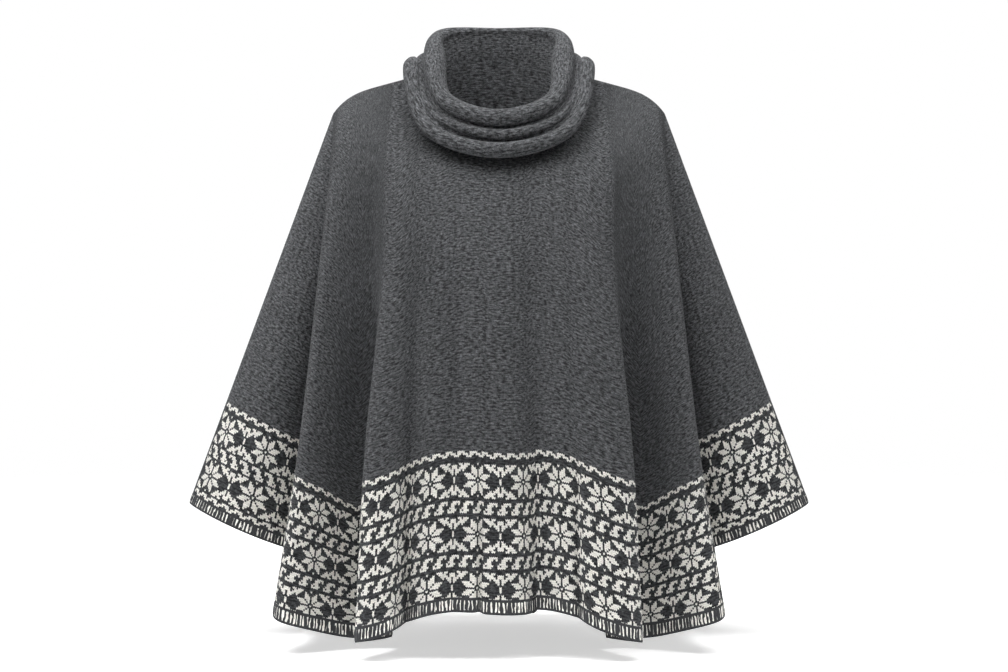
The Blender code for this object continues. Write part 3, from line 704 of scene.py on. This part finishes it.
def stitch_places(tree):
    """Where a point lies: its place in the piece's own space, the whole stitch and row of the stitch map,
    with a little stray in it, the height of the yarn there, and the noise that runs along the rows."""
    where = add(tree, "ShaderNodeUVMap", {}, uv_map=STITCH_MAP)["UV"]
    body = add(tree, "ShaderNodeTexCoord", {})["Object"]
    stray = add(tree, "ShaderNodeTexNoise", {"Vector": body, "Scale": STRAY_SCALE, "Detail": 1.0})["Color"]
    where = add(tree, "ShaderNodeVectorMath", (stray, [2 * STRAY] * 3, where), operation="MULTIPLY_ADD")[0]
    where = add(tree, "ShaderNodeVectorMath", (where, [STRAY] * 3), operation="SUBTRACT")[0]
    axes = add(tree, "ShaderNodeSeparateXYZ", (where,))
    in_stitch = add(tree, "ShaderNodeMath", (axes["X"],), operation="FRACT")[0]
    off = add(tree, "ShaderNodeMath", (in_stitch, 0.5), operation="SUBTRACT")[0]
    off = add(tree, "ShaderNodeMath", (off,), operation="ABSOLUTE")[0]
    slanted = add(tree, "ShaderNodeMath", (off, 2 * STITCH_SLANT, axes["Y"]), operation="MULTIPLY_ADD")[0]
    column = add(tree, "ShaderNodeMath", (axes["X"],), operation="FLOOR")[0]
    row = add(tree, "ShaderNodeMath", (slanted,), operation="FLOOR")[0]
    waves = []
    for place, turn in ((axes["X"], 2 * math.pi), (slanted, math.pi)):
        wave = add(tree, "ShaderNodeMath", (place, turn), operation="MULTIPLY")[0]
        wave = add(tree, "ShaderNodeMath", (wave,), operation="SINE")[0]
        waves.append(add(tree, "ShaderNodeMath", (wave,), operation="ABSOLUTE")[0])
    height = add(tree, "ShaderNodeMath", waves, operation="MULTIPLY")[0]
    height = add(tree, "ShaderNodeMath", (height, 0.5), operation="POWER")[0]
    lying = add(tree, "ShaderNodeVectorMath", (where, COURSE_STRETCH), operation="MULTIPLY")[0]
    course = add(tree, "ShaderNodeTexNoise", {"Vector": lying, "Scale": 1.0, "Detail": 2.0})["Fac"]
    return body, column, row, height, course


def heathered(tree, colour, places, contrast, uneven):
    """The colour with mixed fibres that lie along the rows, stitches that differ a little, painted shade
    between the yarns and a painted highlight on their crowns."""
    body, column, row, height, course = places
    grain = add(tree, "ShaderNodeTexNoise", {"Vector": body, "Scale": GRAIN_SCALE, "Detail": 2.0})["Fac"]
    grain = add(tree, "ShaderNodeMapRange", (grain, *GRAIN_SPAN, 1 - contrast, 1 + contrast))[0]
    patch = add(tree, "ShaderNodeTexNoise", {"Vector": body, "Scale": PATCH_SCALE, "Detail": 2.0})["Fac"]
    patch = add(tree, "ShaderNodeMapRange", (patch, *PATCH_SHADES))[0]
    place = add(tree, "ShaderNodeCombineXYZ", (column, row))[0]
    each = add(tree, "ShaderNodeTexWhiteNoise", {"Vector": place}, noise_dimensions="2D")["Value"]
    each = add(tree, "ShaderNodeMapRange", (each, 0.0, 1.0, 1 - contrast / 2, 1 + contrast / 2))[0]
    # Painted shade between the yarns and a painted highlight on their crowns, from the yarn's height.
    shade = add(tree, "ShaderNodeMapRange", (height, 0.0, 1.0, *YARN_PAINTED_SHADE_AND_HIGHLIGHT))[0]
    course = add(tree, "ShaderNodeMapRange", (course, *COURSE_SPAN, 1 - uneven, 1 + uneven))[0]
    total = grain
    for shares in (patch, course, each, shade):
        total = add(tree, "ShaderNodeMath", (total, shares), operation="MULTIPLY")[0]
    return add(tree, "ShaderNodeVectorMath", {0: colour, "Scale": total}, operation="SCALE")[0]


def dress(tree, shader, colour, height, depth):
    """Links the colour, and bump from the height of the yarn, depth in mm."""
    bump = add(tree, "ShaderNodeBump", {"Height": height, "Distance": depth * MM, "Strength": 1.0})
    tree.links.new(bump["Normal"], shader["Normal"])
    tree.links.new(colour, shader["Base Color"])


def stranded_wool(name, border, colours, plain=0.0):
    """Two-stranded stocking stitch: heathered charcoal, and below it the border, where each stitch of the
    chart is off-white or dark. The eye sees V-shaped stitches with furry, uneven edges. So many plain
    stitches run down each side of a sleeve's fold over the arm."""
    material, tree, shader = shaded(name, BRUSHED_WOOL)
    places = stitch_places(tree)
    _, column, row, height, _ = places
    stops, start = [], 0
    for motif, rows in border:
        first, period = MOTIFS[motif]
        stops.append((start, (first / CHART_ROWS, start / MOST_ROWS, period / LONGEST_REPEAT)))
        start += rows
    facts = looked_up(tree, row, MOST_ROWS, stops)
    in_band = add(tree, "ShaderNodeMath", (facts[1], -MOST_ROWS, row), operation="MULTIPLY_ADD")[0]
    in_chart = add(tree, "ShaderNodeMath", (facts[0], CHART_ROWS, in_band), operation="MULTIPLY_ADD")[0]
    masks = [sum(0.5 ** (i + 1) for i, mark in enumerate(line) if mark == "#") for line in CHART]
    mask = looked_up(tree, in_chart, CHART_ROWS, [(i, [m] * 3) for i, m in enumerate(masks)])[0]
    period = add(tree, "ShaderNodeMath", (facts[2], LONGEST_REPEAT), operation="MULTIPLY")[0]
    mirrored = add(tree, "ShaderNodeMath", (period, MIRRORED_ABOVE), operation="GREATER_THAN")[0]
    there_and_back = add(tree, "ShaderNodeMath", (column, STAR_HALF), operation="PINGPONG")[0]
    repeated = add(tree, "ShaderNodeMath", (column, period), operation="FLOORED_MODULO")[0]
    bit = add(tree, "ShaderNodeMix", {0: mirrored, 2: repeated, 3: there_and_back}, data_type="FLOAT")[0]
    # The mask is doubled until the stitch's own bit stands in its units. The quarter and the ten
    # thousandth keep a whole number from being floored to the one below it.
    bit = add(tree, "ShaderNodeMath", (bit, 1.25), operation="ADD")[0]
    bit = add(tree, "ShaderNodeMath", (bit,), operation="FLOOR")[0]
    bit = add(tree, "ShaderNodeMath", (2.0, bit), operation="POWER")[0]
    bit = add(tree, "ShaderNodeMath", (mask, bit, 0.0001), operation="MULTIPLY_ADD")[0]
    bit = add(tree, "ShaderNodeMath", (bit,), operation="FLOOR")[0]
    bit = add(tree, "ShaderNodeMath", (bit, 2.0), operation="FLOORED_MODULO")[0]
    in_border = add(tree, "ShaderNodeMath", (row, -0.5), operation="GREATER_THAN")[0]
    bit = add(tree, "ShaderNodeMath", (bit, in_border), operation="MULTIPLY")[0]
    if plain:
        from_fold = add(tree, "ShaderNodeMath", (column, STAR_HALF), operation="SUBTRACT")[0]
        from_fold = add(tree, "ShaderNodeMath", (from_fold,), operation="ABSOLUTE")[0]
        patterned = add(tree, "ShaderNodeMath", (from_fold, plain), operation="GREATER_THAN")[0]
        bit = add(tree, "ShaderNodeMath", (bit, patterned), operation="MULTIPLY")[0]
    yarns = {0: in_border, 6: rgba(colours.charcoal), 7: rgba(colours.ground)}
    colour = add(tree, "ShaderNodeMix", yarns, data_type="RGBA")[2]
    colour = heathered(tree, colour, places, HEATHER, UNEVEN)
    cream = heathered(tree, tuple(colours.cream), places, CREAM_HEATHER, CREAM_UNEVEN)
    colour = add(tree, "ShaderNodeMix", {0: bit, 6: colour, 7: cream}, data_type="RGBA")[2]
    dress(tree, shader, colour, height, YARN_RELIEF)
    return material


def collar_wool(name, colours):
    """Plain stocking stitch in the heathered charcoal of the body. The eye sees short light and dark
    streaks along its rows, round the rolls."""
    material, tree, shader = shaded(name, BRUSHED_WOOL)
    places = stitch_places(tree)
    colour = heathered(tree, tuple(colours.charcoal), places, HEATHER, UNEVEN)
    dress(tree, shader, colour, places[3], YARN_RELIEF)
    return material


def marled_wool(name, colours):
    """Ribbing in charcoal and off-white marl: short upright off-white dashes of uneven width on the ribs,
    dark between them and along both edges of the band."""
    material, tree, shader = shaded(name, BRUSHED_WOOL)
    where = add(tree, "ShaderNodeUVMap", {}, uv_map=STITCH_MAP)["UV"]
    body = add(tree, "ShaderNodeTexCoord", {})["Object"]
    stretched = add(tree, "ShaderNodeVectorMath", (where, DASH_STRETCH), operation="MULTIPLY")[0]
    stray = add(tree, "ShaderNodeTexNoise", {"Vector": stretched, "Scale": 1.0, "Detail": 2.0})["Fac"]
    axes = add(tree, "ShaderNodeSeparateXYZ", (where,))
    shift = add(tree, "ShaderNodeMath", (stray, DASH_STRAY, axes["X"]), operation="MULTIPLY_ADD")[0]
    crest = add(tree, "ShaderNodeMath", (shift, 2 * math.pi), operation="MULTIPLY")[0]
    crest = add(tree, "ShaderNodeMath", (crest,), operation="COSINE")[0]
    place = add(tree, "ShaderNodeVectorMath", (where, DASH_GAP_STRETCH), operation="MULTIPLY")[0]
    gap = add(tree, "ShaderNodeTexNoise", {"Vector": place, "Scale": DASH_GAP_SCALE, "Detail": 1.0})["Fac"]
    gap = add(tree, "ShaderNodeMapRange", (gap, *DASH_GAPS))[0]
    off_edge = add(tree, "ShaderNodeMath", (axes["Y"], 0.5), operation="SUBTRACT")[0]
    off_edge = add(tree, "ShaderNodeMath", (off_edge,), operation="ABSOLUTE")[0]
    off_edge = add(tree, "ShaderNodeMapRange", (off_edge, *DASH_ENDS))[0]
    for less in (gap, off_edge):
        crest = add(tree, "ShaderNodeMath", (crest, less), operation="SUBTRACT")[0]
    cream = add(tree, "ShaderNodeMapRange", (crest, 0.0, DASH_EDGE))[0]
    yarns = {0: cream, 6: rgba(colours.ground), 7: rgba(colours.cream)}
    colour = add(tree, "ShaderNodeMix", yarns, data_type="RGBA")[2]
    grain = add(tree, "ShaderNodeTexNoise", {"Vector": body, "Scale": 2 * GRAIN_SCALE, "Detail": 2.0})["Fac"]
    shade = add(tree, "ShaderNodeMapRange", (grain, *GRAIN_SPAN, *DASH_HEATHER))[0]
    colour = add(tree, "ShaderNodeVectorMath", {0: colour, "Scale": shade}, operation="SCALE")[0]
    dress(tree, shader, colour, grain, RIB_YARN_RELIEF)
    return material


# ---- the pieces ----
ROW_HEIGHT = 2.57  # of one knitted row on the collar
RIB_BANDS = (
    ("front", "front_hem_rib"), ("back", "back_hem_rib"), ("left", "left_cuff_rib"),
    ("right", "right_cuff_rib"),
)
RIB_COLUMNS = 8  # mesh columns to one rib
RIBS_END = 1 / 1.15  # of the band's height, where the ribs have run out
RIM = 0.45  # of the wall, at the band's rounded lower edge
STAR_MIDDLE_X = 32.0  # a star stands here on the front panel
FULL_WIDTH_AT = 0.35  # of the border's height above the hem, where the stitches have their full width


@functools.cache
def cloths():
    """Every sheet, with the rows of its rib band, the panels' border heights, and the sleeves' column
    over the arm."""
    sizes = bpy.context.scene.sweater_sizes
    cell = sizes.cell / MM
    front, front_border = panel_grid(FRONT_LINES, FRONT_TROUGHS + FRONT_PLEATS, False, cell)
    back, back_border = panel_grid(BACK_LINES, BACK_TROUGHS + BACK_PLEATS, True, cell)
    left, over_arm = sleeve_grid(front, back, -1, cell)
    right, _ = sleeve_grid(front, back, 1, cell)
    collar = collar_grid(sizes.wall / MM)
    whole = {
        "front": Cloth("front_panel", front, False, 1), "back": Cloth("back_panel", back, False, -1),
        "left": Cloth("left_sleeve", left, True, 1), "right": Cloth("right_sleeve", right, True, -1),
        "collar": Cloth("cowl_collar", collar, True, 1),
    }
    share_seams(list(whole.values()))
    return whole, {"front": front_border, "back": back_border}, over_arm


def above_rib(array):
    return array[:-RIB_ROWS]


def finish_piece(piece):
    """Puts a knitted piece in the place of its CAD node, which has its name without the ending."""
    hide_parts(piece.name.removesuffix(KNIT))
    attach(piece, "root")


def knit_panel(key, material, sizes, star_x):
    """A body panel down to the top of its rib band."""
    whole, borders, _ = cloths()
    cloth = whole[key]
    grid = above_rib(cloth.grid)
    stitch = sizes.stitch / MM
    down = lengths_along(grid, 0)
    heights = borders[key]
    rows = sum(count for _, count in BODY_BORDER)
    v = (down - (down[-1] - heights)) / heights * rows
    level = int(np.argmin(np.abs(v[:, grid.shape[1] // 2] - rows * (1 - FULL_WIDTH_AT))))
    across = lengths_along(grid[level:level + 1], 1)[0]
    middle = np.interp(star_x, grid[level, ::-1, 0], across[::-1])
    u = np.broadcast_to((middle - across) / stitch, grid.shape[:2]) + 0.5
    reach = above_rib(cloth.normal) * (sizes.wall / MM / 2)
    return build_shell(cloth.name, grid, reach, False, u, v, material)


def knit_sleeve(key, material, sizes):
    """A sleeve down to the top of its rib band."""
    whole, _, over_arm = cloths()
    cloth = whole[key]
    grid = above_rib(cloth.grid)
    closed = closed_up(grid)
    down = lengths_along(grid, 0)
    rows = sum(count for _, count in SLEEVE_ROWS)
    v = (down - (down[-1] - SLEEVE_BORDER)) / SLEEVE_BORDER * rows
    level = int(np.argmin(np.abs(v[:, over_arm // 2] - rows / 2)))
    across = lengths_along(closed[level:level + 1], 1)[0]
    repeats = round(across[-1] / (MOTIFS["star"][1] * sizes.stitch / MM))
    from_fold = (across - across[over_arm]) / across[-1] * repeats * MOTIFS["star"][1]
    u = np.broadcast_to(from_fold + STAR_HALF, closed.shape[:2]) + 0.5
    reach = above_rib(cloth.normal) * (sizes.wall / MM / 2)
    return build_shell(cloth.name, grid, reach, True, u, v, material)


def knit_rib(key, name, material, sizes):
    """A rib band, with real ribs, below a panel or a sleeve."""
    cloth = cloths()[0][key]
    band, normal = cloth.grid[-RIB_ROWS - 1:], cloth.normal[-RIB_ROWS - 1:]
    if cloth.ring:
        band, normal = closed_up(band), closed_up(normal)
    length = lengths_along(band[-1:], 1)[0]
    ribs = round(length[-1] / (sizes.rib_pitch / MM))
    count = ribs * RIB_COLUMNS
    at = np.linspace(0, length[-1], count + 1)
    columns = np.interp(at, length, np.arange(len(length)))
    low = np.minimum(columns.astype(int), len(length) - 2)
    share = (columns - low)[None, :, None]
    band = band[:, low] * (1 - share) + band[:, low + 1] * share
    normal = normal[:, low] * (1 - share) + normal[:, low + 1] * share
    normal /= np.linalg.norm(normal, axis=2)[..., None]
    t = np.linspace(0, 1, RIB_ROWS + 1)
    rise = np.sin(np.pi * np.clip(t / RIBS_END, 0, 1)) ** 0.5
    rib = np.cos(2 * math.pi * np.arange(count + 1) / RIB_COLUMNS)
    wall = sizes.wall / MM / 2 + sizes.rib_relief / MM / 2 * rib[None, :] * rise[:, None]
    wall[-1] *= RIM
    u = np.broadcast_to(np.arange(count + 1) / RIB_COLUMNS, band.shape[:2])
    v = np.broadcast_to(t[:, None], band.shape[:2])
    reach = normal * wall[..., None]
    if cloth.ring:
        band, reach = band[:, :-1], reach[:, :-1]
    return build_shell(name, band, reach, cloth.ring, u, v, material)


# ---- operators ----
class SWEATER_OT_panels(bpy.types.Operator):
    """Knits the front and the back panel, with their border"""

    bl_idname = "sweater.panels"
    bl_label = "Body panels"

    def execute(self, context):
        sizes, colours = context.scene.sweater_sizes, context.scene.sweater_colours
        material = stranded_wool("stranded_merino_body", BODY_BORDER, colours)
        for key, star_x in (("front", STAR_MIDDLE_X), ("back", 0.0)):
            finish_piece(knit_panel(key, material, sizes, star_x))
        return {"FINISHED"}


class SWEATER_OT_sleeves(bpy.types.Operator):
    """Knits both sleeves, with their border"""

    bl_idname = "sweater.sleeves"
    bl_label = "Sleeves"

    def execute(self, context):
        sizes, colours = context.scene.sweater_sizes, context.scene.sweater_colours
        material = stranded_wool("stranded_merino_sleeve", SLEEVE_ROWS, colours, SLEEVE_PLAIN)
        for key in ("left", "right"):
            finish_piece(knit_sleeve(key, material, sizes))
        return {"FINISHED"}


class SWEATER_OT_collar(bpy.types.Operator):
    """Knits the cowl collar and folds it into its three rolls"""

    bl_idname = "sweater.collar"
    bl_label = "Cowl collar"

    def execute(self, context):
        sizes, colours = context.scene.sweater_sizes, context.scene.sweater_colours
        cloth = cloths()[0]["collar"]
        closed = closed_up(cloth.grid)
        across = lengths_along(closed, 1)[len(closed) // 2]
        stitches = round(across[-1] / (sizes.stitch / MM))
        u = np.broadcast_to(across / across[-1] * stitches, closed.shape[:2])
        v = lengths_along(cloth.grid, 0) / ROW_HEIGHT
        material = collar_wool("stocking_stitch_collar", colours)
        reach = cloth.normal * (sizes.wall / MM / 2)
        piece = build_shell(cloth.name, cloth.grid, reach, True, u, v, material)
        finish_piece(piece)
        return {"FINISHED"}


class SWEATER_OT_ribs(bpy.types.Operator):
    """Knits the marled rib bands onto the hem and the cuffs"""

    bl_idname = "sweater.ribs"
    bl_label = "Rib bands"

    def execute(self, context):
        sizes, colours = context.scene.sweater_sizes, context.scene.sweater_colours
        material = marled_wool("marled_merino_rib", colours)
        for key, name in RIB_BANDS:
            finish_piece(knit_rib(key, name, material, sizes))
        return {"FINISHED"}


class SWEATER_OT_declare(bpy.types.Operator):
    """Does nothing"""

    bl_idname = "sweater.declare"
    bl_label = "Flat sizes"

    def execute(self, context):
        return {"FINISHED"}


# ---- stage ----
CAMERA_TARGET = (6.75, 0.0, -325.0)
CAMERA_AWAY = 4200.0
CAMERA_ABOVE = 3.5  # degrees
CAMERA_LENS = 111.0
CAMERA_SEES = 100.0  # metres
FLOOR_BELOW = 14.0  # from the lowest rib to the floor
FLOOR_FADES, FLOOR_ENDS = 1100.0, 2300.0  # the floor's paper is whole up to here, and gone there
FLOOR_SIDES, BACKDROP_SIDES = 96, 48
FLOOR_GLOW = 0.55
BACKDROP_RADIUS = 20000.0
WORLD_STRENGTH = 0.03
WHITE = (1.0, 1.0, 1.0, 1.0)
LIGHTS = (
    # name            x      y     z   aim z  wide  high  watts
    ("upper_left", -1000, -440, 1650,  -250,  1600, 1600,  70),
    ("upper_right",  950, -440, 1650,  -250,  1600, 1600,  40),
    ("overhead",      0,  -600, 1700,  -250,  1000, 1000,   9),
    ("front_fill",    0, -3600,  700,  -300,  1800, 1400,   8),
    ("back_fill",     0,  2600, 1500,  -300,  1800, 1400,  26),
)


def studio_paper(name):
    """Matt white paper under soft light, which fades into the backdrop before it ends. It glows evenly
    as well, so the shade under the garment is a pale grey."""
    material, tree, shader = shaded(name, {
        "Base Color": rgba(linear("#F4F4F4")), "Roughness": 1.0, "Specular IOR Level": 0.0,
        "Emission Color": WHITE, "Emission Strength": FLOOR_GLOW,
    })
    place = add(tree, "ShaderNodeTexCoord", {})["Object"]
    flat = add(tree, "ShaderNodeVectorMath", (place, (1.0, 1.0, 0.0)), operation="MULTIPLY")[0]
    away = add(tree, "ShaderNodeVectorMath", (flat,), operation="LENGTH")["Value"]
    fading = (away, FLOOR_FADES * MM, FLOOR_ENDS * MM, 1.0, 0.0)
    here = add(tree, "ShaderNodeMapRange", fading, interpolation_type="SMOOTHSTEP")[0]
    tree.links.new(here, shader["Alpha"])
    return material


def white_backdrop(name):
    """Even white behind the garment, without a shade on it."""
    return shaded(name, {
        "Base Color": (0.0, 0.0, 0.0, 1.0), "Specular IOR Level": 0.0, "Emission Color": WHITE,
        "Emission Strength": 1.0,
    })[0]


class SWEATER_OT_stage(bpy.types.Operator):
    """Sets the pale floor, the soft lights and the camera"""

    bl_idname = "sweater.stage"
    bl_label = "Stage"

    def execute(self, context):
        scene = context.scene
        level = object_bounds()[0].z - FLOOR_BELOW * MM
        bpy.ops.object.select_all(action="DESELECT")
        bpy.ops.mesh.primitive_circle_add(vertices=FLOOR_SIDES, radius=FLOOR_ENDS * MM, fill_type="NGON")
        floor = context.object
        floor.name = "studio_floor"
        floor.data.transform(Matrix.Translation((0, 0, level)))
        floor.data.materials.append(studio_paper("white_studio_paper"))
        floor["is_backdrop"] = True
        bpy.ops.mesh.primitive_uv_sphere_add(
            segments=BACKDROP_SIDES, ring_count=BACKDROP_SIDES // 2, radius=BACKDROP_RADIUS * MM)
        backdrop = context.object
        backdrop.name = "studio_backdrop"
        backdrop.data.materials.append(white_backdrop("white_backdrop"))
        # It is seen behind the garment from every side, and throws no light on it.
        backdrop.visible_diffuse = backdrop.visible_glossy = backdrop.visible_shadow = False
        backdrop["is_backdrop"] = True

        for name, x, y, z, aim_z, wide, high, watts in LIGHTS:
            bpy.ops.object.light_add(type="AREA", location=Vector((x, y, z)) * MM)
            light = context.object
            light.name = f"softbox_{name}"
            aim = Vector((0, 0, aim_z)) * MM - light.location
            light.rotation_euler = aim.to_track_quat("-Z", "Y").to_euler()
            light.data.shape = "RECTANGLE"
            light.data.size, light.data.size_y = wide * MM, high * MM
            light.data.energy = watts
        world = bpy.data.worlds.new("white_room")
        world.use_nodes = True
        background = world.node_tree.nodes["Background"].inputs
        background["Color"].default_value = WHITE
        background["Strength"].default_value = WORLD_STRENGTH
        scene.world = world
        scene.view_settings.view_transform = "Standard"

        lean = math.radians(CAMERA_ABOVE)
        back = Vector((0.0, -math.cos(lean), math.sin(lean)))
        bpy.ops.object.camera_add(location=(Vector(CAMERA_TARGET) + back * CAMERA_AWAY) * MM)
        camera = context.object
        camera.rotation_euler = (-back).to_track_quat("-Z", "Y").to_euler()
        camera.data.lens = CAMERA_LENS
        camera.data.clip_end = CAMERA_SEES
        scene.camera = camera
        return {"FINISHED"}


class SWEATER_PT_sweater(bpy.types.Panel):
    """The sweater's sizes, colours and steps"""

    bl_label = "Fair isle poncho sweater"
    bl_idname = "SWEATER_PT_sweater"
    bl_space_type = "VIEW_3D"
    bl_region_type = "UI"
    bl_category = "Sweater"

    def draw(self, context):
        for group in (context.scene.sweater_sizes, context.scene.sweater_colours):
            for name in group.__annotations__:
                self.layout.prop(group, name)
        for operator in STEPS:
            self.layout.operator(operator.bl_idname)


STEPS = (
    SWEATER_OT_panels, SWEATER_OT_sleeves, SWEATER_OT_collar, SWEATER_OT_ribs, SWEATER_OT_declare,
    SWEATER_OT_stage,
)
CLASSES = (SweaterSizes, SweaterColours, *STEPS, SWEATER_PT_sweater)


def register():
    for cls in CLASSES:
        bpy.utils.register_class(cls)
    bpy.types.Scene.sweater_sizes = bpy.props.PointerProperty(type=SweaterSizes)
    bpy.types.Scene.sweater_colours = bpy.props.PointerProperty(type=SweaterColours)


def unregister():
    del bpy.types.Scene.sweater_colours
    del bpy.types.Scene.sweater_sizes
    for cls in reversed(CLASSES):
        bpy.utils.unregister_class(cls)


def main():
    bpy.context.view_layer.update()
    register()
    for operator in STEPS:
        category, name = operator.bl_idname.split(".")
        getattr(getattr(bpy.ops, category), name)()


if __name__ == "__main__":
    main()
